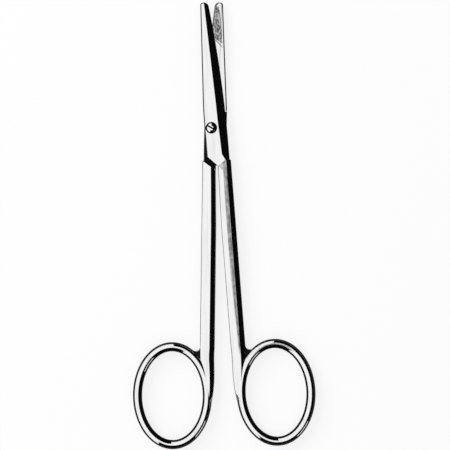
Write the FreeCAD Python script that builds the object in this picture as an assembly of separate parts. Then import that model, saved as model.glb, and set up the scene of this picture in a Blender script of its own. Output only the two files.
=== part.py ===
"""Strabismus scissors, 114 mm: two forged halves that cross at a lap joint, held by one slotted screw.

The frame: +X right, +Y along the bisector to the tips, +Z out of the face that carries the screw's head.
The origin is on the screw's axis, in the outer face of the rear half's lap: the scissors lie flat on Z = 0.
A half is drawn in its own frame: Y to the tip, Z outwards from the ride plane, spine at -X and cutting edge
at +X, with the origin where the middle lines of the two halves cross. Sizes are in millimetres and degrees.
"""
import FreeCAD, Part
import math
import os

from FreeCAD import Vector

# Joint: each half's turn from the bisector at rest, the crossing's place beside the screw, and the gap
rest_angle = 2.6
crossing_offset = 1.07
ride_gap = 0.04

# Lap: the flat crossing part of a half, with its slanted lower end, the ear
lap_thickness = 1.8
lap_spine_side = 2.85
lap_edge_side = 2.97
lap_top_y = 4.8
lap_step = 0.12
lap_point_x = 0.0
ear_corner_y = -7.1
ear_slope = 45.0

# Blade: spine, cutting edge, falling outer face, bevel and hollow
blade_length = 32.35
spine_lean = 2.9
spine_break = 0.3
edge_foot_y = -6.0
edge_drop = 2.45
tip_thickness = 0.95
tip_spine_radius = 0.7
tip_edge_radius = 1.2
taper_start_y = 2.0
bevel_width_lap = 1.95
bevel_width_tip = 1.05
bevel_end_y = -6.9
bevel_run_out = 1.5
bevel_sections = 8
land_lap = 0.6
land_blade = 0.12
land_start_y = -3.0
land_end_y = 12.0
hollow_start_y = 6.0
hollow_depth = 0.06
hollow_margin = 0.3

# Shank: an eight-sided bar, relieved beside the crotch so that the halves can close
shank_inner = 0.49
shank_width = 3.77
shank_end_thickness = 2.9
shank_facet_width = 1.33
shank_facet_depth = 0.95
shank_edge_radius = 0.4
shank_run_in = 2.0
crotch_relief = 0.3
relief_start = 1.5
relief_length = 16.0
shoulder_step = 1.4
shoulder_slope = 34.0

# Finger ring, its root on the shank and the web in the corner above it
ring_centre_y = -68.95
ring_hole_width = 15.6
ring_hole_length = 22.8
ring_bar_width = 2.35
ring_bar_thickness = 2.75
ring_lean = 1.6
ring_inset = 0.55
root_start = 1.5
root_bury = 0.2
root_shares = (0.58, 0.26, -0.06, -0.38)
web_thickness = 1.5
web_radius = 1.1
web_foot_share = 0.6

# Joint screw
head_diameter = 2.44
head_sink = 0.45
head_rise = 0.32
crown_height = 0.27
head_clearance = 0.15
shoulder_diameter = 2.0
shoulder_clearance = 0.03
thread_diameter = 1.7
thread_clearance = 0.01
slot_width = 0.42
slot_depth = 0.42
slot_angle = -31.3

# Worked out from the sizes above
face = ride_gap / 2
total_thickness = 2 * lap_thickness
shank_top = lap_thickness - lap_step
shank_outer = shank_width - shank_inner
facet_x = shank_outer - shank_facet_width
shank_half_end = shank_end_thickness / 2
bar_half = ring_bar_thickness / 2
ring_half_width = (ring_hole_width + ring_bar_width) / 2
ring_half_length = (ring_hole_length + ring_bar_width) / 2
ring_centre_x = ring_inset - shank_inner + ring_bar_width / 2 + ring_half_width
ring_top_y = ring_centre_y + ring_half_length + ring_bar_width / 2

# How far cutting tools reach past what they cut, and how close counts as touching
beyond = 5.0
past = 1.0
near = 0.01
fine = 0.001
up = Vector(0, 0, 1)


def at(x, y, z=0.0):
    """A point."""
    return Vector(x, y, z)


def slope_of(angle):
    """Rise over run of an angle in degrees."""
    return math.tan(math.radians(angle))


def turned(shape, axis, angle):
    """A copy of a shape, turned about an axis through the origin."""
    copy = shape.copy()
    copy.rotate(at(0, 0), axis, angle)
    return copy


def prism(points, bottom, top):
    """A prism of the closed plan outline through (x, y) points, between two heights."""
    corners = [at(x, y, bottom) for x, y in points]
    outline = Part.makePolygon(corners + corners[:1])
    return Part.Face(outline).extrude(up * (top - bottom))


def cylinder(radius, bottom, top, x=0.0, y=0.0):
    """An upright cylinder between two heights."""
    return Part.makeCylinder(radius, top - bottom, at(x, y, bottom))


def rounded(corners, radius):
    """A closed outline through the corners, with each corner taken off by an arc."""
    count = len(corners)
    arcs = []
    starts = []
    ends = []
    for index, corner in enumerate(corners):
        back = (corners[index - 1] - corner).normalize()
        ahead = (corners[(index + 1) % count] - corner).normalize()
        half_angle = back.getAngle(ahead) / 2
        reach = radius / math.tan(half_angle)
        inward = (back + ahead).normalize()
        middle = corner + inward * (radius / math.sin(half_angle) - radius)
        starts.append(corner + back * reach)
        ends.append(corner + ahead * reach)
        arcs.append(Part.Arc(starts[index], middle, ends[index]).toShape())
    edges = []
    for index in range(count):
        edges.append(arcs[index])
        edges.append(Part.LineSegment(ends[index], starts[(index + 1) % count]).toShape())
    return Part.Wire(edges)


def ellipse(centre, along, long_half, short_half, normal):
    """A closed ellipse about a centre, with its long axis along a direction."""
    side = normal.cross(along).normalize()
    curve = Part.Ellipse(centre + along * long_half, centre + side * short_half, centre)
    return Part.Wire(curve.toShape())


def edges_between(shape, wanted):
    """The edges of a shape whose two ends both satisfy a test."""
    chosen = []
    for edge in shape.Edges:
        ends = [vertex.Point for vertex in edge.Vertexes]
        if len(ends) == 2 and all(wanted(end) for end in ends):
            chosen.append(edge)
    return chosen


def upright_edge(shape, x, y):
    """The upright edge of a prism at one corner of its plan."""
    return edges_between(shape, lambda end: abs(end.x - x) < near and abs(end.y - y) < near)


def edge_x(y):
    """Where the cutting edge lies: an arc that leaves the lap's side without a corner."""
    run = blade_length - edge_foot_y
    radius = (run ** 2 + edge_drop ** 2) / (2 * edge_drop)
    rise = max(y - edge_foot_y, 0.0)
    return lap_edge_side - (radius - math.sqrt(radius ** 2 - rise ** 2))


def spine_x(y):
    """Where the spine lies: straight beside the lap, then leaning in to the tip."""
    return -lap_spine_side + max(y - lap_top_y, 0.0) * slope_of(spine_lean)


def outer_z(y):
    """Height of the outer face: level on the lap, then falling to the tip."""
    share = max(y - taper_start_y, 0.0) / (blade_length - taper_start_y)
    return lap_thickness - share * (lap_thickness - tip_thickness)


def land_z(y):
    """Height of the narrow land that is left under the bevel, thinnest along the cutting edge."""
    share = min(max((y - land_start_y) / (land_end_y - land_start_y), 0.0), 1.0)
    return land_lap - share * (land_lap - land_blade)


def bevel_x(y):
    """Where the bevel starts on the outer face: a straight line from the lap to the tip."""
    start = lap_edge_side - bevel_width_lap
    end = edge_x(blade_length) - bevel_width_tip
    return start + (end - start) * (y - edge_foot_y) / (blade_length - edge_foot_y)


def ear_y(x):
    """The slanted lower end of the lap."""
    return ear_corner_y - (x + lap_spine_side) * slope_of(ear_slope)


def shoulder_y(x):
    """The slanted step above which the shank keeps to its own side of the ride plane."""
    return ear_corner_y - shoulder_step - (shank_outer - x) * slope_of(shoulder_slope)


def ring_side_x(y, offset=0.0):
    """Where the ring's middle line, or a line beside it, passes on the shank's side."""
    rise = y - ring_centre_y
    share = rise / (ring_half_length + offset)
    return ring_centre_x + rise * slope_of(ring_lean) - (ring_half_width + offset) * math.sqrt(1 - share ** 2)


def blade_plan():
    """The plan of blade and lap, down to where the lap runs into the shank."""
    ear = at(-lap_spine_side, ear_corner_y)
    lap_top = at(-lap_spine_side, lap_top_y)
    tip_spine = at(spine_x(blade_length), blade_length)
    tip_edge = at(edge_x(blade_length), blade_length)
    foot = at(lap_edge_side, edge_foot_y)
    middle_y = (blade_length + edge_foot_y) / 2
    inside_x = shank_facet_width - shank_inner
    inside = at(inside_x, ear_y(inside_x))
    root = at(lap_edge_side, ear_y(inside_x))
    corners = [foot, root, inside, ear, lap_top, tip_spine, tip_edge]
    edges = [Part.LineSegment(a, b).toShape() for a, b in zip(corners, corners[1:])]
    edges.append(Part.Arc(tip_edge, at(edge_x(middle_y), middle_y), foot).toShape())
    return Part.Wire(edges)


def bevel_cutter():
    """What the bevel takes away: a wedge that follows the cutting edge's arc."""
    start_y = ear_y(lap_edge_side)
    sections = []
    for step in range(bevel_sections + 1):
        y = start_y + (blade_length + past - start_y) * step / bevel_sections
        high = at(bevel_x(y), y, outer_z(y))
        low = at(edge_x(y), y, land_z(y))
        slope = (low - high).normalize()
        corners = [high - slope * beyond, low + slope, at(low.x + beyond, y, high.z + beyond)]
        sections.append(Part.makePolygon(corners + corners[:1]))
    return Part.makeLoft(sections, True)


def hollow_cutter():
    """The long shallow hollow in the blade's inner face, a cylinder that leaves a flat rim at the edge."""
    middle_start = (spine_x(hollow_start_y) + edge_x(hollow_start_y)) / 2
    middle_end = (spine_x(blade_length) + edge_x(blade_length)) / 2
    half_width = (edge_x(blade_length) - spine_x(blade_length)) / 2 - hollow_margin
    radius = (half_width ** 2 + hollow_depth ** 2) / (2 * hollow_depth)
    axis_z = face + hollow_depth - radius
    start = at(middle_start, hollow_start_y, axis_z)
    end = at(middle_end, blade_length + past, axis_z)
    return Part.makeCylinder(radius, (end - start).Length, start, end - start)


def taper_cutter():
    """What the falling outer face of the blade takes away."""
    far = blade_length + beyond
    over = lap_thickness + beyond
    side = [(taper_start_y, lap_thickness), (far, outer_z(far)), (far, over), (taper_start_y, over)]
    corners = [at(-2 * beyond, y, z) for y, z in side]
    return Part.Face(Part.makePolygon(corners + corners[:1])).extrude(at(4 * beyond, 0, 0))


def blade_and_lap():
    """The thin part of a half: lap and blade, one flat inner face, the outer face falling to the tip."""
    body = Part.Face(blade_plan()).extrude(up * (lap_thickness - face))
    body.translate(up * face)
    body = body.makeFillet(tip_edge_radius, upright_edge(body, edge_x(blade_length), blade_length))
    body = body.makeFillet(tip_spine_radius, upright_edge(body, spine_x(blade_length), blade_length))
    body = body.cut(taper_cutter())
    spine_edges = edges_between(
        body, lambda end: abs(end.x - spine_x(end.y)) < near and end.z > outer_z(end.y) - near
    )
    body = body.makeChamfer(spine_break, spine_edges)
    tip = (lap_point_x, ear_y(lap_point_x))
    corner = (facet_x, bevel_end_y - bevel_run_out)
    low_y = tip[1] - beyond
    below_lap = [tip, corner, (beyond, corner[1]), (beyond, low_y), (lap_point_x, low_y)]
    body = body.cut([bevel_cutter(), hollow_cutter(), prism(below_lap, shank_top, beyond)])
    beside_bevel = [tip, corner, (bevel_x(bevel_end_y), bevel_end_y), (lap_point_x, bevel_end_y)]
    return body.fuse(prism(beside_bevel, face, lap_thickness))


def shank_section(y, half_thickness, outer=shank_outer, inner=-shank_inner):
    """The shank's section: flat faces, slanted facets and short upright sides, with its corners rounded."""
    depth = shank_facet_depth * half_thickness / lap_thickness
    width = shank_facet_width * (outer - inner) / shank_width
    side = half_thickness - depth
    upper = [(inner, side), (inner + width, half_thickness), (outer - width, half_thickness), (outer, side)]
    lower = [(x, -z) for x, z in reversed(upper)]
    return rounded([at(x, y, z) for x, z in upper + lower], shank_edge_radius)


def shank_bar():
    """The straight bar from the lap down to the ring, as thick as the joint at its upper end."""
    crotch_y = ear_y(-shank_inner)
    end_y = ring_top_y - root_start
    relieved = crotch_relief - shank_inner
    share = relief_length / (crotch_y - end_y)
    relief_half = shank_top - share * (shank_top - shank_half_end)
    sections = [
        shank_section(ear_corner_y + shank_run_in, shank_top, inner=relieved),
        shank_section(crotch_y - relief_start, shank_top, inner=relieved),
        shank_section(crotch_y - relief_length, relief_half),
        shank_section(end_y, shank_half_end),
    ]
    bar = Part.makeLoft(sections, True, True)
    far = 2 * beyond
    shoulder = [(-far, shoulder_y(-far)), (far, shoulder_y(far)), (far, far), (-far, far)]
    corner_y = bevel_end_y - bevel_run_out
    start_x = bevel_x(bevel_end_y)
    run_out = [(start_x, bevel_end_y), (facet_x, corner_y), (far, corner_y), (far, far), (start_x, far)]
    return bar.cut([prism(shoulder, -beyond, face), prism(run_out, face, beyond)])


def ring_root():
    """The shank's end, which thins out and bends into the side of the ring's bar."""
    side = ring_bar_width / 2
    below, beside, past, hidden = [ring_centre_y + share * ring_half_length for share in root_shares]
    outer = [ring_side_x(y, -side) - root_bury for y in (beside, past, hidden)]
    past_inner = ring_side_x(past, side) - root_bury / 2
    hidden_inner = ring_side_x(hidden, side) + root_bury
    sections = [
        shank_section(ring_top_y - root_start, shank_half_end),
        shank_section(below, shank_half_end, shank_outer - root_bury),
        shank_section(beside, bar_half, outer[0]),
        shank_section(past, bar_half - root_bury / 2, outer[1], past_inner),
        shank_section(hidden, bar_half - 2 * root_bury, outer[2], hidden_inner),
    ]
    return Part.makeLoft(sections, True)


def ring_line(offset=0.0):
    """The ring's middle line, or a line beside it."""
    angle = math.radians(90 - ring_lean)
    along = at(math.cos(angle), math.sin(angle))
    centre = at(ring_centre_x, ring_centre_y)
    return ellipse(centre, along, ring_half_length + offset, ring_half_width + offset, up)


def ring():
    """The finger ring: an oval bar bent to an ellipse."""
    line = ring_line()
    edge = line.Edges[0]
    start = edge.valueAt(edge.FirstParameter)
    tangent = edge.tangentAt(edge.FirstParameter)
    section = ellipse(start, up, bar_half, ring_bar_width / 2, tangent)
    return line.makePipeShell([section], True, True)


def web():
    """The thin web in the corner between shank and ring, with a rounded edge tangent to both."""
    outline = ring_line(ring_bar_width / 2)
    foot_y = ring_centre_y + web_foot_share * ring_half_length
    centre = at(shank_outer + web_radius, ring_top_y)
    high = ring_top_y + web_radius
    low = foot_y
    while high - low > fine:
        centre.y = (high + low) / 2
        if outline.distToShape(Part.Vertex(centre))[0] > web_radius:
            high = centre.y
        else:
            low = centre.y
    touch = outline.distToShape(Part.Vertex(centre))[1][0][0]
    buried = touch + (touch - centre).normalize() * (ring_bar_width / 2)
    half = web_thickness / 2
    plan = [(facet_x, centre.y), (centre.x, centre.y), (buried.x, buried.y), (facet_x, foot_y)]
    inside = Part.Face(ring_line()).extrude(up * web_thickness)
    inside.translate(up * -half)
    return prism(plan, -half, half).cut([cylinder(web_radius, -half, half, centre.x, centre.y), inside])


def half_blank():
    """One half as forged and ground, before its screw hole is made."""
    return blade_and_lap().fuse([shank_bar(), ring_root(), ring(), web()]).removeSplitter()


def placed(half, angle):
    """A half turned to its rest angle and set on the ride plane, with the screw's axis at the origin."""
    body = turned(half, up, angle)
    body.translate(at(crossing_offset, 0, lap_thickness))
    return body


def front_half(blank):
    """The half in front: its tip lies left, its ring right, and it carries the counterbored screw hole."""
    body = placed(blank, rest_angle)
    over = total_thickness + beyond
    hole = cylinder(shoulder_diameter / 2 + shoulder_clearance, 0, over)
    seat = cylinder(head_diameter / 2 + head_clearance, total_thickness - head_sink, over)
    return body.cut([hole, seat])


def rear_half(blank):
    """The half behind: the same forging turned over, with the tapped hole."""
    body = placed(turned(blank, at(0, 1), 180), -rest_angle)
    return body.cut(cylinder(thread_diameter / 2 + thread_clearance, -beyond, total_thickness))


def joint_screw():
    """The slotted screw: domed head, bearing shoulder, and threaded end flush with the rear half."""
    head_radius = head_diameter / 2
    shoulder_radius = shoulder_diameter / 2
    thread_radius = thread_diameter / 2
    seat_z = total_thickness - head_sink + face
    shoulder_z = lap_thickness - face
    top_z = total_thickness + head_rise
    rim_z = top_z - crown_height
    crown_radius = (head_radius ** 2 + crown_height ** 2) / (2 * crown_height)
    middle_drop = crown_radius - math.sqrt(crown_radius ** 2 - (head_radius / 2) ** 2)
    crown = Part.Arc(at(0, 0, top_z), at(head_radius / 2, 0, top_z - middle_drop), at(head_radius, 0, rim_z))
    corners = [
        at(head_radius, 0, rim_z),
        at(head_radius, 0, seat_z),
        at(shoulder_radius, 0, seat_z),
        at(shoulder_radius, 0, shoulder_z),
        at(thread_radius, 0, shoulder_z),
        at(thread_radius, 0, 0),
        at(0, 0, 0),
        at(0, 0, top_z),
    ]
    profile = Part.Wire([crown.toShape()] + Part.makePolygon(corners).Edges)
    body = Part.Face(profile).revolve(at(0, 0), up, 360)
    slot_corner = at(-head_diameter, -slot_width / 2, top_z - slot_depth)
    slot = Part.makeBox(2 * head_diameter, slot_width, beyond, slot_corner)
    return body.cut(turned(slot, up, slot_angle))


def main():
    """Build every node and write it out."""
    blank = half_blank()
    nodes = {
        "front_half": front_half(blank),
        "rear_half": rear_half(blank),
        "joint_screw": joint_screw(),
    }
    os.makedirs("parts", exist_ok=True)
    for name, shape in nodes.items():
        print(name, "valid", shape.isValid(), "solids", len(shape.Solids), "volume", round(shape.Volume, 2))
        shape.Solids[0].exportStep(f"parts/{name}.step")


if __name__ == "__main__":
    main()
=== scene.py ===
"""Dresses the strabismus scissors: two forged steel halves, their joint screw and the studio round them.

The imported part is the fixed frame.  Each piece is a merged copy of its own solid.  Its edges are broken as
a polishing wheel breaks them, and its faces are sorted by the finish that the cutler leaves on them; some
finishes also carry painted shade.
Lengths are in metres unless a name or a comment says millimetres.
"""

import logging
import math
from dataclasses import dataclass, field
from enum import Enum
from typing import Any, Callable

import bmesh
import bpy
from mathutils import Matrix, Vector
from mathutils.bvhtree import BVHTree

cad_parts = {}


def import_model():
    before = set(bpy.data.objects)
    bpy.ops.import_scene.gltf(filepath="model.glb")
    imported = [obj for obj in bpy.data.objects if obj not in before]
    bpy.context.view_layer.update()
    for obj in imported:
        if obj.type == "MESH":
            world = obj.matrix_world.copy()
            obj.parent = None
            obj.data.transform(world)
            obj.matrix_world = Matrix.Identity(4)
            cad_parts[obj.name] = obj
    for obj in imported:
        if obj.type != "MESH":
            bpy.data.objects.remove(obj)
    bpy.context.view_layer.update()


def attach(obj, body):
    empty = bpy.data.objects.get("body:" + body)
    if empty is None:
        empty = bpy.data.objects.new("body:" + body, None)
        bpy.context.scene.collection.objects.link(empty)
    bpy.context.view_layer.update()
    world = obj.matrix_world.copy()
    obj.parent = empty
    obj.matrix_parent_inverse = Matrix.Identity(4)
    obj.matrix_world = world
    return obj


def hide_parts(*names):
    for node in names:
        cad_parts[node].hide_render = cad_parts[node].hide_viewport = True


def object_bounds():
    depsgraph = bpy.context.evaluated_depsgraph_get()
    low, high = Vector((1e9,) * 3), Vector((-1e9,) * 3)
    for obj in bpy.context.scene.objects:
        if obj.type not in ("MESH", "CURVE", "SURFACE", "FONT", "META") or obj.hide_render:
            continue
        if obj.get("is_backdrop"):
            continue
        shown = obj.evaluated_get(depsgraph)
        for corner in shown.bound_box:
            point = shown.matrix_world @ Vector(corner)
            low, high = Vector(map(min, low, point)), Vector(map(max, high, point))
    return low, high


log = logging.getLogger("scissors")

Tree = bpy.types.NodeTree
Socket = bpy.types.NodeSocket
Edge = bmesh.types.BMEdge
Pair = tuple[float, float]
Triple = tuple[float, float, float]

MM = 0.001
# The mesh attribute that holds a point's place in its own forging, in millimetres.
PLACE = "forging_place"
# Sockets of a colour mix: its factor, its two colours and its result.
FACTOR, FIRST, SECOND, MIXED = 0, 6, 7, 2


class Finish(Enum):
    """The finishes of the steel, in the order of a piece's material slots; the satin, inner, ride and crook
    ones carry painted shade.
    """

    BUFFED = 0
    # The satin flat, partly belt grain and partly painted shade.
    SATIN_AND_SHADE = 1
    INNER = 2
    # Painted shade: the ride, the counterbore and the screw's slot.
    PAINTED_SHADE = 3
    # Painted shade: the crook.
    CROOK = 4


def linear(code: str) -> tuple[float, float, float, float]:
    """Turns an sRGB colour into the linear values that a shader takes.

    Args:
        code: Six hexadecimal digits after a hash sign.

    Returns:
        Red, green and blue, and an alpha of 1.
    """
    shares = [int(code[start : start + 2], 16) / 255 for start in (1, 3, 5)]
    red, green, blue = (s / 12.92 if s <= 0.04045 else ((s + 0.055) / 1.055) ** 2.4 for s in shares)
    return red, green, blue, 1.0


def add_node(
    tree: Tree,
    kind: str,
    settings: dict[str, Any] | None = None,
    inputs: dict[Any, Any] | None = None,
) -> bpy.types.Node:
    """Adds one node with its settings and links.

    Args:
        tree: The node tree that gets the node.
        kind: The node's type, without the word ShaderNode before it.
        settings: Properties of the node, with their values.
        inputs: Socket names or numbers, each with a value or with the output socket that feeds it.

    Returns:
        The new node.
    """
    node = tree.nodes.new("ShaderNode" + kind)
    for name, value in (settings or {}).items():
        setattr(node, name, value)
    for key, value in (inputs or {}).items():
        if isinstance(value, Socket):
            tree.links.new(value, node.inputs[key])
        else:
            node.inputs[key].default_value = value
    return node


def streaks(tree: Tree, place: Socket, size: Triple, detail: float) -> Socket:
    """Draws what a belt, stone or wheel leaves: noise that is long one way and fine the other.

    Args:
        tree: The node tree.
        place: The place in the forging, in millimetres.
        size: How long a streak is along X, Y and Z, in millimetres.
        detail: How many finer layers the noise has.

    Returns:
        A value round 0.5.
    """
    scale = [1 / length for length in size]
    stretched = add_node(tree, "VectorMath", {"operation": "MULTIPLY"}, {0: place, 1: scale})
    inputs = {"Vector": stretched.outputs[0], "Scale": 1.0, "Detail": detail}
    return add_node(tree, "TexNoise", inputs=inputs).outputs[0]


def ramp(tree: Tree, value: Socket, start: Pair, end: Pair) -> Socket:
    """Turns a value smoothly into another, and holds it still past both ends.

    Args:
        tree: The node tree.
        value: What is turned.
        start: A value, and what it becomes.
        end: A larger value, and what that becomes.

    Returns:
        The turned value.
    """
    ends = {"From Min": start[0], "To Min": start[1], "From Max": end[0], "To Max": end[1]}
    node = add_node(tree, "MapRange", {"interpolation_type": "SMOOTHSTEP"}, {"Value": value, **ends})
    return node.outputs["Result"]


def combine(tree: Tree, operation: str, first: Any, second: Any, third: Any = 0.0) -> Socket:
    """Combines two or three values, each a number or a socket.

    Args:
        tree: The node tree.
        operation: What is done, such as MULTIPLY or MULTIPLY_ADD.
        first: The first value.
        second: The second value.
        third: The third value, where the operation has one.

    Returns:
        The result.
    """
    return add_node(tree, "Math", {"operation": operation}, {0: first, 1: second, 2: third}).outputs[0]


@dataclass(frozen=True)
class Steel:
    """Martensitic stainless steel, as every finish has it: bare bright metal with no coat.

    Attributes:
        name: What the finish is called.
        colour: Its lighter colour.
        shade: Its darker colour, in the hollows of its grain, and the painted shade in some finishes.
        roughness: Its least and greatest roughness.
        relief: How high its grain stands, in metres.
    """

    name: str
    colour: str
    shade: str
    roughness: Pair
    relief: float

    def grain(self, tree: Tree, place: Socket) -> Socket:
        """Draws the finish's own grain.

        Args:
            tree: The node tree.
            place: The place in the forging, in millimetres.

        Returns:
            A value from 0 to 1.
        """
        raise NotImplementedError

    def dulling_and_shade(self, tree: Tree, place: Socket, grain: Socket) -> Socket:
        """Says how far the surface is from its bright colour to its dark one, which follows the grain unless
        a finish says more; in some finishes the dark one is painted shade.

        Args:
            tree: The node tree.
            place: The place in the forging, in millimetres.
            grain: The finish's grain.

        Returns:
            A value from 0, bright, to 1, dull.
        """
        return grain

    def material(self) -> bpy.types.Material:
        """Builds the material.

        Returns:
            The finish as a material.
        """
        material = bpy.data.materials.new(self.name)
        material.use_nodes = True
        tree = material.node_tree
        tree.nodes.clear()
        place = add_node(tree, "Attribute", {"attribute_name": PLACE}).outputs["Vector"]
        grain = self.grain(tree, place)
        dull = self.dulling_and_shade(tree, place, grain)
        # The mix towards the darker colour paints shade into the satin, inner, ride and crook finishes.
        shades = {FACTOR: dull, FIRST: linear(self.colour), SECOND: linear(self.shade)}
        colour = add_node(tree, "Mix", {"data_type": "RGBA"}, shades)
        low, high = self.roughness
        bump = add_node(tree, "Bump", inputs={"Height": grain, "Distance": self.relief, "Strength": 1.0})
        steel = add_node(
            tree,
            "BsdfPrincipled",
            inputs={
                "Base Color": colour.outputs[MIXED],
                "Metallic": 1.0,
                "Roughness": ramp(tree, dull, (0.0, low), (1.0, high)),
                "Normal": bump.outputs["Normal"],
            },
        )
        add_node(tree, "OutputMaterial", inputs={"Surface": steel.outputs["BSDF"]})
        return material


@dataclass(frozen=True)
class BuffedSteel(Steel):
    """Mirror buffed on a cloth wheel: clear reflections, which waver a little where the wheel dwelt.

    Attributes:
        wave: How long the wheel's waves are along X, Y and Z, in millimetres.
        hairline: How long and wide the hairlines from wiping are.
        haze: The noise at which a hairline starts to dull the mirror, and at which it is dullest.
    """

    # The wheel's waves are some 2 to 5 mm long. Hairlines are far finer, and are drawn 0.6 mm apart to show.
    wave: Triple = (2.4, 5.0, 2.4)
    hairline: Triple = (0.6, 9.0, 0.6)
    haze: Pair = (0.42, 0.75)

    def grain(self, tree: Tree, place: Socket) -> Socket:
        """Draws the wheel's waves."""
        return streaks(tree, place, self.wave, detail=1.0)

    def dulling_and_shade(self, tree: Tree, place: Socket, grain: Socket) -> Socket:
        """Dulls the mirror a little along its hairlines."""
        hairlines = streaks(tree, place, self.hairline, detail=3.0)
        return ramp(tree, hairlines, (self.haze[0], 0.0), (self.haze[1], 1.0))


@dataclass(frozen=True)
class SatinAndShadeSteel(Steel):
    """Belt ground along the shank and left satin, with painted shade: a grey field whose long streaks darken
    towards the outer facet.

    Attributes:
        line: How long and wide the belt's lines are, in millimetres.
        blotch: How long and wide its blotches are.
        field_x: Where the painted grey shade starts across the flat at its top, and where it is full.
        lean: How fast the field draws back to the outer facet along the shank.
        top_y: Where the field starts along the forging.
        facet_x: Where the outer facet starts.
        end_y: Where the field has run out along the forging, and where it starts to.
        level: How dark the painted shade is at its start and at the outer facet.
        mottle: The noise at which a streak is lightest, and at which it is darkest.
        contrast: How much lighter or darker than the field a streak is.
    """

    # A fine belt's lines are some 0.05 mm apart, and are drawn 0.35 mm apart to show.
    line: Triple = (0.35, 5.0, 0.35)
    blotch: Triple = (0.8, 1.5, 0.8)
    field_x: Pair = (-0.1, 0.35)
    lean: float = 0.0297
    top_y: float = -10.0
    facet_x: float = 1.95
    end_y: Pair = (-59.5, -56.0)
    level: Pair = (0.5, 0.8)
    mottle: Pair = (0.36, 0.64)
    contrast: float = 0.2

    def grain(self, tree: Tree, place: Socket) -> Socket:
        """Draws the belt's lines over the blotches that its changing pressure leaves.

        Args:
            tree: The node tree.
            place: The place in the forging, in millimetres.

        Returns:
            The mean of lines and blotches.
        """
        lines = combine(tree, "MULTIPLY", streaks(tree, place, self.line, detail=3.0), 0.5)
        return combine(tree, "MULTIPLY_ADD", streaks(tree, place, self.blotch, detail=2.0), 0.5, lines)

    def dulling_and_shade(self, tree: Tree, place: Socket, grain: Socket) -> Socket:
        """Paints shade on the flat, darker towards its outer facet, and lets it and its streaks run out by
        the ring.

        Args:
            tree: The node tree.
            place: The place in the forging, in millimetres.
            grain: The belt's lines and blotches.

        Returns:
            A value from 0, bright, to 1, darkest painted shade.
        """
        apart = add_node(tree, "SeparateXYZ", inputs={0: place})
        x, y = apart.outputs["X"], apart.outputs["Y"]
        across = combine(tree, "MULTIPLY_ADD", combine(tree, "SUBTRACT", y, self.top_y), self.lean, x)
        inside = ramp(tree, across, (self.field_x[0], 0.0), (self.field_x[1], 1.0))
        along = ramp(tree, y, (self.end_y[0], 0.0), (self.end_y[1], 1.0))
        # Painted shade: the flat greys more towards the outer facet.
        level = ramp(tree, x, (self.field_x[1], self.level[0]), (self.facet_x, self.level[1]))
        mottled = ramp(tree, grain, (self.mottle[0], -self.contrast), (self.mottle[1], self.contrast))
        grey = combine(tree, "ADD", level, mottled)
        return combine(tree, "MULTIPLY", grey, combine(tree, "MULTIPLY", inside, along))


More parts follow.
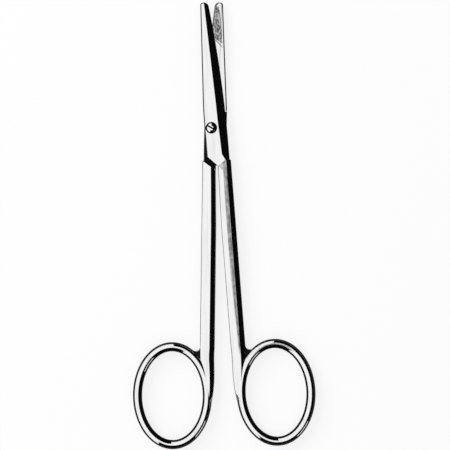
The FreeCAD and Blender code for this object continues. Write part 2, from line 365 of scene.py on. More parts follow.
@dataclass(frozen=True)
class InnerFace(Steel):
    """The blade's hollow-ground inner face: bright along its length, with painted grey shade over the stone's
    marks behind the tip.

    Attributes:
        stroke: How long the stone's marks are, in millimetres.
        spine: Where the spine lies at the lap's top, that place along the forging, and how fast it leans in.
        edge: Where the cutting edge starts, that place along the forging, and how fast it curves in.
        margin: How wide the bright borders beside spine, edge and tip are.
        blur: How softly the field ends beside spine and edge, and before the tip.
        tip_y: Where the tip is along the forging.
        narrowing: How much wider the border beside the spine gets at the tip.
        narrowing_run: How far before the tip that starts and ends.
        end: Where the painted grey shade ends on the forging's middle line, and how fast that end slants
            across it.
        end_blur: How far past that line the field fades, and how far before it.
        stroke_end: The same for a last painted shade stroke, which lies past the field.
        stroke_width: How far from its line the stroke starts to fade, and where it has.
        stroke_grey: How dark the painted stroke is.
        lightest: The noise at which a mark is lightest, and how dark it is then.
        darkest: The same where a mark is darkest.
        faint: How grey the marks are outside the field.
        land: How wide the honed land beside the cutting edge is, which is painted dark as an outline of
            shade.
        land_blur: How softly the land ends.
        tip_radius: How far the cutting edge is rounded into the tip.
    """

    # The stone's real marks are some 0.1 mm wide, and are drawn 0.45 mm wide to show.
    stroke: Triple = (0.45, 0.8, 0.45)
    spine: Triple = (-2.85, 4.8, 0.0507)
    edge: Triple = (2.97, -6.0, 0.001666)
    margin: Triple = (0.55, 0.3, 1.1)
    blur: Pair = (0.15, 0.3)
    tip_y: float = 32.35
    narrowing: float = 0.45
    narrowing_run: Pair = (6.0, 1.0)
    end: Pair = (22.6, 0.65)
    end_blur: Pair = (0.1, 0.2)
    stroke_end: Pair = (22.3, 1.0)
    stroke_width: Pair = (0.1, 0.26)
    stroke_grey: float = 0.9
    lightest: Pair = (0.38, 0.5)
    darkest: Pair = (0.62, 1.0)
    faint: float = 0.12
    # The land is 0.12 mm wide, and is drawn 0.34 mm wide and painted dark to show as an outline of shade.
    land: float = 0.34
    land_blur: float = 0.04
    tip_radius: float = 1.2

    def grain(self, tree: Tree, place: Socket) -> Socket:
        """Draws the stone's short blotchy marks."""
        return streaks(tree, place, self.stroke, detail=4.0)

    def dulling_and_shade(self, tree: Tree, place: Socket, grain: Socket) -> Socket:
        """Bounds the painted grey shade by spine, edge, tip and a slanting end, and adds the honed land
        painted dark as an outline.

        Args:
            tree: The node tree.
            place: The place in the forging, in millimetres.
            grain: The stone's marks.

        Returns:
            A value from 0, bright, to 1, dull.
        """
        apart = add_node(tree, "SeparateXYZ", inputs={0: place})
        x, y = apart.outputs["X"], apart.outputs["Y"]
        run = combine(tree, "SUBTRACT", y, self.edge[1])
        curve = combine(tree, "MULTIPLY", run, run)
        edge_x = combine(tree, "MULTIPLY_ADD", curve, -self.edge[2], self.edge[0])
        from_edge = combine(tree, "SUBTRACT", edge_x, x)
        borders = self.inside_borders(tree, x, y, from_edge)
        # Painted shade: a grey field behind the tip, mottled by the stone's marks.
        inside = combine(tree, "MULTIPLY", borders, self.marks(tree, x, y))
        mottled = ramp(tree, grain, self.lightest, self.darkest)
        grey = combine(tree, "MULTIPLY", inside, mottled)
        honed = combine(tree, "MAXIMUM", grey, self.honed_land_and_dark_outline(tree, x, y, from_edge))
        return combine(tree, "MAXIMUM", honed, combine(tree, "MULTIPLY", grain, self.faint))

    def inside_borders(self, tree: Tree, x: Socket, y: Socket, from_edge: Socket) -> Socket:
        """Says how far a place lies inside the bright borders beside spine, edge and tip.

        Args:
            tree: The node tree.
            x: The place across the forging, in millimetres.
            y: The place along it.
            from_edge: How far it lies in from the cutting edge.

        Returns:
            A value that is 1 inside the borders.
        """
        run = combine(tree, "SUBTRACT", y, self.spine[1])
        spine_x = combine(tree, "MULTIPLY_ADD", run, self.spine[2], self.spine[0])
        first, last = (self.tip_y - distance for distance in self.narrowing_run)
        narrowed = ramp(tree, y, (first, 0.0), (last, self.narrowing))
        from_spine = combine(tree, "SUBTRACT", combine(tree, "SUBTRACT", x, spine_x), narrowed)
        side, tip = self.blur
        spine_border, edge_border, tip_border = self.margin
        past_spine = ramp(tree, from_spine, (spine_border - side, 0.0), (spine_border + side, 1.0))
        past_edge = ramp(tree, from_edge, (edge_border - side, 0.0), (edge_border + side, 1.0))
        border_y = self.tip_y - tip_border
        past_tip = ramp(tree, y, (border_y - tip, 1.0), (border_y + tip, 0.0))
        return combine(tree, "MULTIPLY", combine(tree, "MULTIPLY", past_spine, past_edge), past_tip)

    def marks(self, tree: Tree, x: Socket, y: Socket) -> Socket:
        """Draws the painted shade field up to its slanting end, and a painted shade stroke past it.

        Args:
            tree: The node tree.
            x: The place across the forging, in millimetres.
            y: The place along it.

        Returns:
            How dark the painted shade makes a place.
        """
        end_y, slant = self.end
        run = combine(tree, "MULTIPLY_ADD", x, -slant, y)
        before_end = ramp(tree, run, (end_y - self.end_blur[0], 0.0), (end_y + self.end_blur[1], 1.0))
        stroke_y, slant = self.stroke_end
        run = combine(tree, "MULTIPLY_ADD", x, -slant, y)
        away = combine(tree, "ABSOLUTE", combine(tree, "SUBTRACT", run, stroke_y), 0.0)
        stroke = ramp(tree, away, (self.stroke_width[0], self.stroke_grey), (self.stroke_width[1], 0.0))
        return combine(tree, "MAXIMUM", before_end, stroke)

    def honed_land_and_dark_outline(self, tree: Tree, x: Socket, y: Socket, from_edge: Socket) -> Socket:
        """Draws the matt land that the hone leaves beside the cutting edge and round into the tip, painted
        dark as an outline of shade.

        Args:
            tree: The node tree.
            x: The place across the forging, in millimetres.
            y: The place along it.
            from_edge: How far it lies in from the cutting edge.

        Returns:
            A value that is 1 on the land.
        """
        tip_x = self.edge[0] - self.edge[2] * (self.tip_y - self.edge[1]) ** 2
        across = combine(tree, "MAXIMUM", combine(tree, "SUBTRACT", x, tip_x - self.tip_radius), 0.0)
        along = combine(tree, "SUBTRACT", y, self.tip_y - self.tip_radius)
        squares = combine(tree, "MULTIPLY_ADD", across, across, combine(tree, "MULTIPLY", along, along))
        round_tip = combine(tree, "SUBTRACT", self.tip_radius, combine(tree, "POWER", squares, 0.5))
        in_tip = combine(tree, "GREATER_THAN", along, 0.0)
        # A mix of numbers has its factor and its two values on these sockets.
        inset = add_node(tree, "Mix", inputs={0: in_tip, 2: from_edge, 3: round_tip}).outputs[0]
        # Painted shade: the land is drawn dark so that the cutting edge shows an outline.
        return ramp(tree, inset, (self.land - self.land_blur, 1.0), (self.land + self.land_blur, 0.0))


@dataclass(frozen=True)
class PaintedShadeSteel(Steel):
    """Painted shade: the ride round the screw, the counterbore and the screw's slot, painted near black as
    the joint's shadow, with a lapped matt.
    """

    # The lapping grit's pits are some 0.03 mm wide, and are drawn 0.3 mm wide to show.
    pit: Triple = (0.3, 0.3, 0.3)

    def grain(self, tree: Tree, place: Socket) -> Socket:
        """Draws the fine even matt of the lap."""
        return streaks(tree, place, self.pit, detail=3.0)


@dataclass(frozen=True)
class CrookShadeSteel(Steel):
    """The crook between shank and ring, painted dark as the shade in that recess, with a pitted grain."""

    # The pits are 0.1 to 0.4 mm wide, as drawn.
    pit: Triple = (0.4, 0.4, 0.4)

    def grain(self, tree: Tree, place: Socket) -> Socket:
        """Draws a pitted grain."""
        return streaks(tree, place, self.pit, detail=4.0)


@dataclass
class RingBar:
    """The finger ring's oval bar, swept in even steps round an ellipse so that its reflections run true.

    Attributes:
        centre: The ring's centre in the forging's frame.
        half_width: Half the width of the bar's middle line.
        half_length: Half the length of the bar's middle line.
        bar_width: The bar's width in the ring's plane.
        bar_thickness: The bar's thickness across that plane.
        lean: How far the ring leans, in degrees.
        steps: How many steps the bar has round the ring.
        sides: How many sides the bar has round itself.
    """

    centre: Vector = field(default_factory=lambda: Vector((10.21, -68.95, 0.0)) * MM)
    half_width: float = 8.975 * MM
    half_length: float = 12.575 * MM
    bar_width: float = 2.35 * MM
    bar_thickness: float = 2.75 * MM
    lean: float = 1.6
    steps: int = 240
    sides: int = 48

    def section_at(self, step: int) -> Matrix:
        """Places the bar's section, which is a circle of radius 1 before this.

        Args:
            step: The number of the step round the ring.

        Returns:
            The matrix that stretches, turns and moves the circle to its place.
        """
        angle = step * 2 * math.pi / self.steps
        lean = math.radians(self.lean)
        across = Vector((math.cos(lean), -math.sin(lean), 0.0))
        along = Vector((math.sin(lean), math.cos(lean), 0.0))
        sideways, lengthways = math.cos(angle), math.sin(angle)
        middle = self.centre + across * self.half_width * sideways + along * self.half_length * lengthways
        outwards = (across * self.half_length * sideways + along * self.half_width * lengthways).normalized()
        up = Vector((0.0, 0.0, 1.0))
        columns = (outwards * self.bar_width / 2, up * self.bar_thickness / 2, outwards.cross(up) * MM)
        return Matrix.Translation(middle) @ Matrix(columns).transposed().to_4x4()

    def sweep(self, to_row: Matrix) -> bmesh.types.BMesh:
        """Sweeps the bar.

        Args:
            to_row: The matrix from the forging's frame to the row's.

        Returns:
            The closed bar, in the row's frame.
        """
        bm = bmesh.new()
        # The points and faces are made one by one, because an extrusion gives them in another order each run.
        turns = [side * 2 * math.pi / self.sides for side in range(self.sides)]
        circle = [Vector((math.cos(turn), math.sin(turn), 0.0)) for turn in turns]
        sections = []
        for step in range(self.steps):
            placed = to_row @ self.section_at(step)
            sections.append([bm.verts.new(placed @ point) for point in circle])
        for here, onwards in zip(sections, sections[1:] + sections[:1]):
            for side in range(self.sides):
                bm.faces.new((here[side - 1], here[side], onwards[side], onwards[side - 1]))
        bmesh.ops.recalc_face_normals(bm, faces=bm.faces)
        return bm


@dataclass
class SteelPiece:
    """One steel piece, dressed on a merged copy of its own solid.

    Attributes:
        node: The piece's solid in the frame.
        body: The body that it rides on.
        slot: The record's material slot; it is not used.
        crease: The least angle between faces that counts as an edge, in degrees.
        square: The least angle that counts as a square corner, in degrees.
        soft_break: How far an edge under that is broken.
        square_break: How far a square corner is broken.
        wide_face: The least area of a face that stays flat up to its edges.
        weld: How near two points lie that are one.
        flat_angle: The angle under which two faces are one, in degrees.
        sliver: How short an edge is that is left out.
        to_forging: The matrix from the row's frame to the forging's own.
    """

    node: str
    body: str
    slot: str = "polished_steel"
    crease: float = 24.0
    square: float = 60.0
    soft_break: float = 0.025 * MM
    square_break: float = 0.10 * MM
    wide_face: float = 0.6 * MM * MM
    weld: float = 0.001 * MM
    flat_angle: float = 0.4
    sliver: float = 0.0002 * MM
    to_forging: Matrix = field(default_factory=Matrix)

    def finish_of(self, centre: Vector, normal: Vector) -> Finish:
        """Sorts one face by its finish.

        Args:
            centre: The face's centre in the forging's frame.
            normal: The face's normal there.

        Returns:
            The finish that the cutler leaves on it.
        """
        return Finish.BUFFED

    def stays_sharp(self, edge: Edge) -> bool:
        """Says whether an edge isn't broken.

        Args:
            edge: An edge with a face on each side.

        Returns:
            True for an edge that the wheel mustn't touch.
        """
        return False

    def finish_shape(self, bm: bmesh.types.BMesh) -> None:
        """Does what a piece needs after its edges are broken, which for most is nothing."""

    def sort_faces(self, bm: bmesh.types.BMesh) -> None:
        """Gives each face its finish.

        Args:
            bm: The piece's mesh.
        """
        turn = self.to_forging.to_3x3()
        for face in bm.faces:
            face.smooth = True
            centre = self.to_forging @ face.calc_center_median()
            face.material_index = self.finish_of(centre, turn @ face.normal).value

    def merge(self) -> bmesh.types.BMesh:
        """Copies the solid's mesh, joins its loose triangles and sorts its faces.

        Returns:
            The joined mesh.
        """
        bm = bmesh.new()
        bm.from_mesh(bpy.data.objects[self.node].data)
        bmesh.ops.remove_doubles(bm, verts=bm.verts, dist=self.weld)
        self.sort_faces(bm)
        flat = math.radians(self.flat_angle)
        bmesh.ops.dissolve_limit(bm, angle_limit=flat, verts=bm.verts, edges=bm.edges, delimit={"MATERIAL"})
        return bm

    def round_edges(
        self,
        bm: bmesh.types.BMesh,
        wanted: Callable[[Edge, float], bool],
        width: float,
        segments: int,
    ) -> None:
        """Rounds some of the outward edges.

        Args:
            bm: The joined mesh.
            wanted: Says of an edge and the angle between its faces, in degrees, whether it is rounded.
            width: How far the rounding reaches into each face.
            segments: How many strips it has.
        """
        rounded = [
            edge
            for edge in bm.edges
            if edge.is_manifold and wanted(edge, math.degrees(edge.calc_face_angle_signed(0.0)))
        ]
        bmesh.ops.bevel(
            bm,
            geom=rounded,
            offset=width,
            offset_type="OFFSET",
            affect="EDGES",
            segments=segments,
            profile=0.5,
            material=-1,
            clamp_overlap=False,
        )

    def break_edges(self, bm: bmesh.types.BMesh) -> None:
        """Breaks the edges as the wheel does, a square corner further than a blunt one.

        Args:
            bm: The joined mesh.
        """
        self.round_edges(
            bm,
            lambda edge, angle: self.crease < angle <= self.square and not self.stays_sharp(edge),
            self.soft_break,
            segments=2,
        )
        self.round_edges(
            bm,
            lambda edge, angle: angle > self.square and not self.stays_sharp(edge),
            self.square_break,
            segments=4,
        )

    def place_points(self, mesh: bpy.types.Mesh) -> None:
        """Writes each point's place in the forging, which the grinding marks follow.

        Args:
            mesh: The finished mesh.
        """
        places = mesh.attributes.new(PLACE, "FLOAT_VECTOR", "POINT")
        for vertex, place in zip(mesh.vertices, places.data):
            place.vector = self.to_forging @ vertex.co / MM

    def keep_flats(self, piece: bpy.types.Object) -> None:
        """Keeps the shading of the flat faces flat up to their broken edges.

        Args:
            piece: The piece.
        """
        faces = [face for face in piece.data.polygons if face.area > self.wide_face]
        wide = {number for face in faces for number in face.vertices}
        piece.vertex_groups.new(name="round_flats").add(list(wide), 1.0, "REPLACE")
        normals = piece.modifiers.new("flat_faces_stay_flat", "WEIGHTED_NORMAL")
        normals.keep_sharp = True
        normals.vertex_group = "round_flats"

    def build(self, finishes: dict[Finish, bpy.types.Material]) -> bpy.types.Object:
        """Makes the dressed piece.

        Args:
            finishes: The material of each finish.

        Returns:
            The piece, riding on its body in place of its solid.
        """
        bm = self.merge()
        self.break_edges(bm)
        # The ends of a break can fold into slivers, which are left out.
        bmesh.ops.dissolve_degenerate(bm, edges=bm.edges, dist=self.sliver)
        self.finish_shape(bm)
        self.sort_faces(bm)
        for edge in bm.edges:
            edge.smooth = edge.calc_face_angle(0.0) < math.radians(self.crease)
        name = self.node + "_steel"
        mesh = bpy.data.meshes.new(name)
        bm.to_mesh(mesh)
        bm.free()
        self.place_points(mesh)
        for finish in Finish:
            mesh.materials.append(finishes[finish])
        piece = bpy.data.objects.new(name, mesh)
        bpy.context.scene.collection.objects.link(piece)
        self.keep_flats(piece)
        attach(piece, self.body)
        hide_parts(self.node)
        log.info("%s: %d faces", name, len(mesh.polygons))
        return piece


@dataclass
class ScissorHalf(SteelPiece):
    """One forged half. Both are the same forging, and the rear one lies turned over.

    Attributes:
        turned_over: True for the rear half.
        rest_angle: How far the half is turned from the middle line at rest, in degrees.
        crossing: Where the two blades' middle lines cross.
        satin_top: Where the satin flat with its painted shade starts along the forging.
        ride_top: Where the ride ends along the forging and the hollow-ground inner face starts.
        seat_radius: The radius round the screw within which the counterbore and its rim lie.
        seat_break: How far the counterbore's upper rim is broken.
        seat_depth: Below which height over the inner face a face is inside the counterbore.
        face_band: How far from the inner face's plane a face of it may lie.
        square_on: How upright a face's normal is, at the least, that lies square to the screw.
        inner_facing: The same for the inner face, whose hollow leans a little.
        ear_top: Where the lap's ear starts along the forging.
        cutting_side: How far a face's normal leans to the cutting side, at the least, to look to it.
        flat_height: The height over the inner face that parts the shank's flat from the web's.
        web_top: Where the web starts along the forging.
        ring: The finger ring's bar.
        skin: How near a point lies to the bar's surface to be on it.
        skirt: How deep the forging's open border reaches into the bar.
        spine_break: How far the inner face's edge along spine and tip is broken.
    """

    turned_over: bool = False
    rest_angle: float = 2.6
    crossing: Vector = field(default_factory=lambda: Vector((1.07, 0.0, 1.8)) * MM)
    satin_top: float = -9.4 * MM
    ride_top: float = 1.0 * MM
    seat_radius: float = 1.57 * MM
    seat_break: float = 0.18 * MM
    seat_depth: float = 1.6 * MM
    face_band: float = 0.3 * MM
    square_on: float = 0.98
    inner_facing: float = 0.95
    ear_top: float = -7.0 * MM
    cutting_side: float = 0.3
    flat_height: float = 1.0 * MM
    web_top: float = -50.0 * MM
    ring: RingBar = field(default_factory=RingBar)
    skin: float = 0.03 * MM
    skirt: float = 0.15 * MM
    spine_break: float = 0.36 * MM

    def __post_init__(self) -> None:
        """Works out the matrix from the row's frame to the forging's own."""
        angle = math.radians(-self.rest_angle if self.turned_over else self.rest_angle)
        placed = Matrix.Translation(self.crossing) @ Matrix.Rotation(angle, 4, "Z")
        if self.turned_over:
            placed = placed @ Matrix.Rotation(math.pi, 4, "Y")
        self.to_forging = placed.inverted()
        self.screw_place = self.to_forging @ Vector((0.0, 0.0, self.crossing.z))

    def finish_of(self, centre: Vector, normal: Vector) -> Finish:
        """Sorts one face of the forging by its finish.

        Args:
            centre: The face's centre in the forging's frame.
            normal: The face's normal there.

        Returns:
            The finish that the cutler leaves on it; the ride, the counterbore and the crook get painted shade
            instead.
        """
        from_screw = (centre - self.screw_place).to_2d().length
        # Painted shade: the counterbore and the ride round the screw are painted near black.
        if from_screw < self.seat_radius and (centre.z < self.seat_depth or normal.z < self.square_on):
            return Finish.PAINTED_SHADE
        if normal.z < -self.inner_facing and abs(centre.z) < self.face_band:
            return Finish.PAINTED_SHADE if centre.y < self.ride_top else Finish.INNER
        if normal.z > self.square_on and centre.y < self.satin_top and centre.z > self.flat_height:
            return Finish.SATIN_AND_SHADE
        # Painted shade: the recessed web in the crook is painted dark.
        if abs(normal.z) > self.square_on and abs(centre.z) < self.flat_height and centre.y < self.web_top:
            return Finish.CROOK
        return Finish.BUFFED

    def break_edges(self, bm: bmesh.types.BMesh) -> None:
        """Breaks the inner face's edge along spine and tip first, and furthest, then the others.

        Args:
            bm: The joined mesh.
        """
        self.round_edges(
            bm,
            lambda edge, angle: angle > self.square and self.on_blade(edge) and not self.stays_sharp(edge),
            self.spine_break,
            segments=5,
        )
        self.round_edges(
            bm,
            lambda edge, angle: angle > self.square and self.on_seat(edge),
            self.seat_break,
            segments=4,
        )
        super().break_edges(bm)

    def on_seat(self, edge: Edge) -> bool:
        """Says whether an edge lies on the upper rim of the counterbore for the screw's head.

        Args:
            edge: The edge.

        Returns:
            True on the rim, which only the front half has.
        """
        if self.turned_over:
            return False
        ends = [self.to_forging @ corner.co - self.screw_place for corner in edge.verts]
        return all(end.to_2d().length < self.seat_radius and end.z > self.seat_depth for end in ends)

    def on_blade(self, edge: Edge) -> bool:
        """Says whether an edge lies on the blade's inner face, past the lap."""
        ends = [self.to_forging @ corner.co for corner in edge.verts]
        return all(abs(end.z) < self.face_band and end.y > self.ride_top for end in ends)

    def ring_place(self) -> Matrix:
        """Says where the ring's middle is at rest, and how the ring is turned."""
        return self.to_forging.inverted() @ Matrix.Translation(self.ring.centre)

    def finish_shape(self, bm: bmesh.types.BMesh) -> None:
        """Puts the evenly swept bar in the place of the ring's own uneven triangles.

        Args:
            bm: The forging's mesh, whose ring goes and whose open border then reaches into the bar.
        """
        bar = self.ring.sweep(self.to_forging.inverted())
        surface = BVHTree.FromBMesh(bar)
        on_bar = {corner: surface.find_nearest(corner.co, self.skin)[0] is not None for corner in bm.verts}
        worn = [face for face in bm.faces if all(on_bar[corner] for corner in face.verts)]
        bmesh.ops.delete(bm, geom=worn, context="FACES")
        border = [edge for edge in bm.edges if edge.is_boundary]
        for part in bmesh.ops.extrude_edge_only(bm, edges=border)["geom"]:
            if isinstance(part, bmesh.types.BMVert):
                part.co -= surface.find_nearest(part.co)[1] * self.skirt
        mesh = bpy.data.meshes.new("bar")
        bar.to_mesh(mesh)
        bar.free()
        bm.from_mesh(mesh)
        bpy.data.meshes.remove(mesh)

    def stays_sharp(self, edge: Edge) -> bool:
        """Keeps the cutting edge and the lap's ride as ground.

        Args:
            edge: An edge with a face on each side.

        Returns:
            True for an edge of the inner face beside a face that looks to the cutting side.
        """
        turn = self.to_forging.to_3x3()
        middle = self.to_forging @ ((edge.verts[0].co + edge.verts[1].co) / 2)
        if middle.y < self.ear_top or abs(middle.z) > self.face_band:
            return False
        return any((turn @ face.normal).x > self.cutting_side for face in edge.link_faces)


@dataclass
class JointScrew(SteelPiece):
    """The slotted screw that holds the halves: its dome is buffed, and its slot is painted black as shade.

    Attributes:
        rim_radius: The radius outside which the head's rim lies.
        dome_foot: The height over which only the head's dome and side lie.
        dome_lean: How upright a face of the dome is, at the least.
        side_lean: How far a face of the head's side looks outwards, at the least.
    """

    slot: str = "screw_steel"
    square_break: float = 0.16 * MM
    wide_face: float = 0.05 * MM * MM
    rim_radius: float = 1.2 * MM
    dome_foot: float = 3.6 * MM
    dome_lean: float = 0.5
    side_lean: float = 0.9

    def stays_sharp(self, edge: Edge) -> bool:
        """Rounds only the head's rim."""
        ends = [corner.co for corner in edge.verts]
        return any(end.to_2d().length < self.rim_radius or end.z < self.dome_foot for end in ends)

    def finish_of(self, centre: Vector, normal: Vector) -> Finish:
        """Sorts one face of the screw: only the head's dome and side are buffed.

        Args:
            centre: The face's centre, which lies on the screw's own axis where X and Y are 0.
            normal: The face's normal.

        Returns:
            The buffed finish on the dome and side, and painted shade elsewhere.
        """
        # Painted shade: the slot and the shank below the head are painted near black.
        if centre.z <= self.dome_foot:
            return Finish.PAINTED_SHADE
        outwards = normal.to_2d().dot(centre.to_2d().normalized()) if centre.to_2d().length > 0 else 0.0
        return Finish.BUFFED if normal.z > self.dome_lean or outwards > self.side_lean else Finish.PAINTED_SHADE


@dataclass(frozen=True)
class Card:
    """A curved card round the scissors, which only the steel sees.

    Attributes:
        name: What it is called.
        radius: Its distance from the point under the camera.
        heights: How high its lower and upper edges are over the floor.
        start: Where it starts, in degrees from +X.
        sweep: How far it goes round, in degrees.
        colour: Its colour.
    """

    name: str
    radius: float
    heights: Pair
    start: float
    sweep: float
    colour: str = "#0A0A0A"


@dataclass(frozen=True)
class Lamp:
    """A soft square lamp that looks at the scissors.

    Attributes:
        name: What it is called.
        place: Where it hangs.
        side: The side of its panel.
        power: Its power, in watts.
    """

    name: str
    place: Triple
    side: float
    power: float


@dataclass
class Studio:
    """The pale floor, the soft light and the camera.

    Attributes:
        floor_side: The floor's side.
        floor_colour: The floor's colour.
        floor_glow: The share of the floor's own light that the camera and the steel see.
        frame_width: How wide the photograph's frame is at the object.
        centre: The point under the camera.
        camera_turn: How far the camera is turned, in degrees.
        lens: The camera's focal length, in millimetres.
        fill_light: How bright the white tent is where neither the camera nor the steel sees it.
        floor_gap: How far under the scissors the floor lies.
        under_card: The radius and the colour of the card under the scissors.
        under_card_gap: How far under the scissors that card lies.
        drum: Half the width, half the length and the height of the drum in each ring.
        black: The drums' colour.
        cards: The cards round the scissors.
        lamps: The lamps.
    """

    floor_side: float = 4.0
    floor_colour: str = "#F2F2F2"
    floor_glow: float = 0.82
    frame_width: float = 115.2 * MM
    centre: Pair = (2.67 * MM, -25.0 * MM)
    camera_turn: float = -1.85
    lens: float = 150.0
    fill_light: float = 0.5
    floor_gap: float = 0.1 * MM
    under_card: tuple[float, str] = (0.45, "#2E2E2E")
    under_card_gap: float = 0.05 * MM
    drum: Triple = (3.2 * MM, 6.8 * MM, 3.3 * MM)
    black: str = "#0A0A0A"
    # The high card blackens the facets, the bevels and half of each ring, and the next two lengthen it
    # downwards. The pale card between those two lights the flats, and the low one draws the outlines.
    cards: tuple[Card, ...] = (
        Card("high_card", 0.5, (0.195, 1.24), -118.0, 206.0),
        Card("right_card", 0.5, (0.09, 0.2), -35.0, 123.0),
        Card("near_card", 0.5, (0.09, 0.2), -118.0, 63.0),
        Card("grey_card", 0.5, (0.04, 0.2), -55.0, 20.0, "#F2F2F2"),
        Card("low_card", 0.6, (0.0, 0.117), 0.0, 360.0),
    )
    lamps: tuple[Lamp, ...] = (
        Lamp("key", (-0.55, 0.35, 0.5), 0.5, 5.0),
        Lamp("fill", (-0.1, -0.6, 0.7), 0.6, 1.5),
    )

    def place(self, name: str, mesh: bpy.types.Mesh, height: float) -> bpy.types.Object:
        """Puts a mesh of the studio's into the scene.

        Args:
            name: What it is called.
            mesh: Its mesh.
            height: Its height.

        Returns:
            The object, which isn't part of the scissors.
        """
        thing = bpy.data.objects.new(name, mesh)
        thing.location = (*self.centre, height)
        bpy.context.scene.collection.objects.link(thing)
        thing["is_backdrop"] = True
        return thing

    def paint(self, mesh: bpy.types.Mesh, name: str) -> Tree:
        """Gives a mesh an empty material.

        Args:
            mesh: The mesh.
            name: What the material is called.

        Returns:
            The material's node tree, with nothing in it.
        """
        material = bpy.data.materials.new(name)
        material.use_nodes = True
        material.node_tree.nodes.clear()
        mesh.materials.append(material)
        return material.node_tree

    def hang_tent(self) -> None:
        """Hangs a white tent, which is white to the camera and the steel, and a soft fill elsewhere."""
        world = bpy.data.worlds.new("tent")
        world.use_nodes = True
        tree = world.node_tree
        tree.nodes.clear()
        path = add_node(tree, "LightPath")
        seen = combine(tree, "MAXIMUM", path.outputs["Is Camera Ray"], path.outputs["Is Glossy Ray"])
        level = add_node(tree, "MapRange", inputs={"Value": seen, "To Min": self.fill_light, "To Max": 1.0})
        white = linear("#FFFFFF")
        light = add_node(tree, "Background", inputs={"Color": white, "Strength": level.outputs[0]})
        add_node(tree, "OutputWorld", inputs={"Surface": light.outputs[0]})
        bpy.context.scene.world = world

    def lay_floor(self, height: float) -> None:
        """Lays the pale floor, which keeps the shadow of the scissors.

        Args:
            height: The floor's height.
        """
        bm = bmesh.new()
        bmesh.ops.create_grid(bm, x_segments=1, y_segments=1, size=self.floor_side / 2)
        mesh = bpy.data.meshes.new("floor")
        bm.to_mesh(mesh)
        bm.free()
        self.place("floor", mesh, height)
        tree = self.paint(mesh, "matt_card")
        path = add_node(tree, "LightPath")
        seen = combine(tree, "MAXIMUM", path.outputs["Is Camera Ray"], path.outputs["Is Glossy Ray"])
        share = combine(tree, "MULTIPLY", seen, self.floor_glow)
        card = add_node(tree, "BsdfDiffuse", inputs={"Color": linear(self.floor_colour)})
        glow = add_node(tree, "Emission", inputs={"Color": linear("#FFFFFF"), "Strength": 1.0})
        mix = add_node(tree, "MixShader", inputs={0: share, 1: card.outputs[0], 2: glow.outputs[0]})
        add_node(tree, "OutputMaterial", inputs={"Surface": mix.outputs[0]})

    def only_in_steel(self, card: bpy.types.Object, colour: str) -> None:
        """Makes a card one that only the steel sees.

        Args:
            card: The card.
            colour: Its colour.
        """
        card.visible_camera = False
        card.visible_diffuse = False
        card.visible_shadow = False
        tree = self.paint(card.data, card.name + "_paper")
        paper = add_node(tree, "BsdfDiffuse", inputs={"Color": linear(colour)})
        add_node(tree, "OutputMaterial", inputs={"Surface": paper.outputs[0]})

    def lay_card(self, height: float) -> None:
        """Lays the round dark card under the scissors, which gives polished steel its dark outlines.

        Args:
            height: Its height.
        """
        radius, colour = self.under_card
        bm = bmesh.new()
        bmesh.ops.create_circle(bm, cap_ends=True, segments=64, radius=radius)
        mesh = bpy.data.meshes.new("under_card")
        bm.to_mesh(mesh)
        bm.free()
        self.only_in_steel(self.place("under_card", mesh, height), colour)

    def hang_card(self, card: Card, floor: float) -> None:
        """Hangs a curved card round the scissors.

        Args:
            card: The card.
            floor: The floor's height.
        """
        bm = bmesh.new()
        foot, head = (bm.verts.new((card.radius, 0.0, height)) for height in card.heights)
        upright = bm.edges.new((foot, head))
        turn = Matrix.Rotation(math.radians(card.start), 3, "Z")
        bmesh.ops.rotate(bm, cent=(0, 0, 0), matrix=turn, verts=[foot, head])
        bmesh.ops.spin(
            bm,
            geom=[foot, head, upright],
            cent=(0, 0, 0),
            axis=(0, 0, 1),
            angle=math.radians(card.sweep),
            steps=48,
            use_merge=card.sweep >= 360,
        )
        mesh = bpy.data.meshes.new(card.name)
        bm.to_mesh(mesh)
        bm.free()
        self.only_in_steel(self.place(card.name, mesh, floor), card.colour)

    def stand_drum(self, name: str, ring: Matrix, floor: float) -> None:
        """Stands a low black drum in a finger ring, which keeps the ring's sides out of each other's shine.

        Args:
            name: What the drum is called.
            ring: The matrix of the ring, at its middle.
            floor: The floor's height.
        """
        bm = bmesh.new()
        bmesh.ops.create_cone(bm, cap_ends=True, segments=48, radius1=1.0, radius2=1.0, depth=1.0)
        wide, long, high = self.drum
        middle = ring.translation - Vector((*self.centre, 0.0))
        placed = Matrix.Translation((middle.x, middle.y, high / 2)) @ ring.to_3x3().to_4x4()
        bmesh.ops.transform(bm, matrix=placed @ Matrix.Diagonal((wide, long, high, 1.0)), verts=bm.verts)
        mesh = bpy.data.meshes.new(name)
        bm.to_mesh(mesh)
        bm.free()
        self.only_in_steel(self.place(name, mesh, floor), self.black)

    def hang_lamp(self, lamp: Lamp) -> None:
        """Hangs one lamp, whose panel is kept out of the steel.

        Args:
            lamp: The lamp.
        """
        data = bpy.data.lights.new(lamp.name, "AREA")
        data.size = lamp.side
        data.energy = lamp.power
        panel = bpy.data.objects.new(lamp.name, data)
        panel.visible_glossy = False
        panel.location = lamp.place
        away = Vector(lamp.place) - Vector((*self.centre, 0.0))
        panel.rotation_euler = away.to_track_quat("Z", "Y").to_euler()
        bpy.context.scene.collection.objects.link(panel)

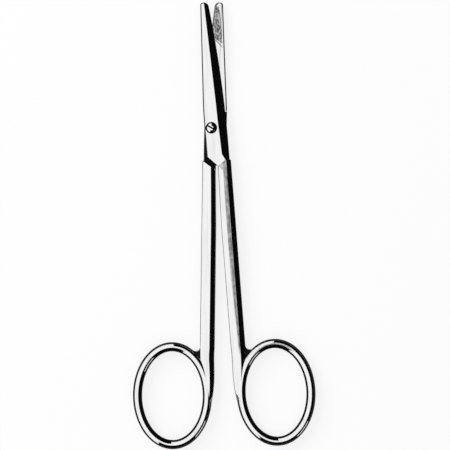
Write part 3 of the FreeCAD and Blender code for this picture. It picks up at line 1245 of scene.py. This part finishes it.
    def set_camera(self, top: float) -> None:
        """Sets the camera straight over the scissors, as in the photograph.

        Args:
            top: The height of the scissors' top.
        """
        data = bpy.data.cameras.new("camera")
        data.lens = self.lens
        distance = self.frame_width * data.lens / data.sensor_width
        camera = bpy.data.objects.new("camera", data)
        camera.location = (*self.centre, top + distance)
        camera.rotation_euler = (0.0, 0.0, math.radians(self.camera_turn))
        bpy.context.scene.collection.objects.link(camera)
        bpy.context.scene.camera = camera

    def build(self, rings: list[Matrix]) -> None:
        """Sets up the whole studio.

        Args:
            rings: The matrix of each finger ring, at its middle.
        """
        low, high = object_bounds()
        self.hang_tent()
        self.lay_floor(low.z - self.floor_gap)
        self.lay_card(low.z - self.under_card_gap)
        for card in self.cards:
            self.hang_card(card, low.z)
        for number, ring in enumerate(rings):
            self.stand_drum(f"drum_{number}", ring, low.z)
        for lamp in self.lamps:
            self.hang_lamp(lamp)
        self.set_camera(high.z)
        bpy.context.scene.view_settings.view_transform = "Standard"


def main() -> None:
    """Builds the dressed scissors and the studio, in order."""
    logging.basicConfig(level=logging.INFO, format="%(message)s")
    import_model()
    steels = {
        Finish.BUFFED: BuffedSteel("buffed_stainless", "#F3F3F3", "#E7E7E7", (0.05, 0.13), 0.003 * MM),
        # The satin flat's darker colour is painted shade over the belt's streaks.
        Finish.SATIN_AND_SHADE: SatinAndShadeSteel("belt_ground_and_painted_shade_stainless", "#F1F1F1", "#808080", (0.10, 0.42), 0.003 * MM),
        # The inner face's darker colour is painted shade behind the tip and along the land.
        Finish.INNER: InnerFace("stone_ground_and_painted_shade_stainless", "#F3F3F3", "#707070", (0.06, 0.45), 0.002 * MM),
        # Painted shade: near black for the ride, the counterbore and the screw's slot.
        Finish.PAINTED_SHADE: PaintedShadeSteel("ride_painted_shade_stainless", "#1A1A1A", "#0C0C0C", (0.35, 0.5), 0.002 * MM),
        # Painted shade: dark grey for the recessed crook.
        Finish.CROOK: CrookShadeSteel("crook_painted_shade_stainless", "#2A2A2A", "#101010", (0.4, 0.6), 0.004 * MM),
    }
    finishes = {finish: steel.material() for finish, steel in steels.items()}
    halves = [ScissorHalf("rear_half", "rear", turned_over=True), ScissorHalf("front_half", "front")]
    for piece in (*halves, JointScrew("joint_screw", "rear")):
        piece.build(finishes)
    Studio().build([half.ring_place() for half in halves])


if __name__ == "__main__":
    main()
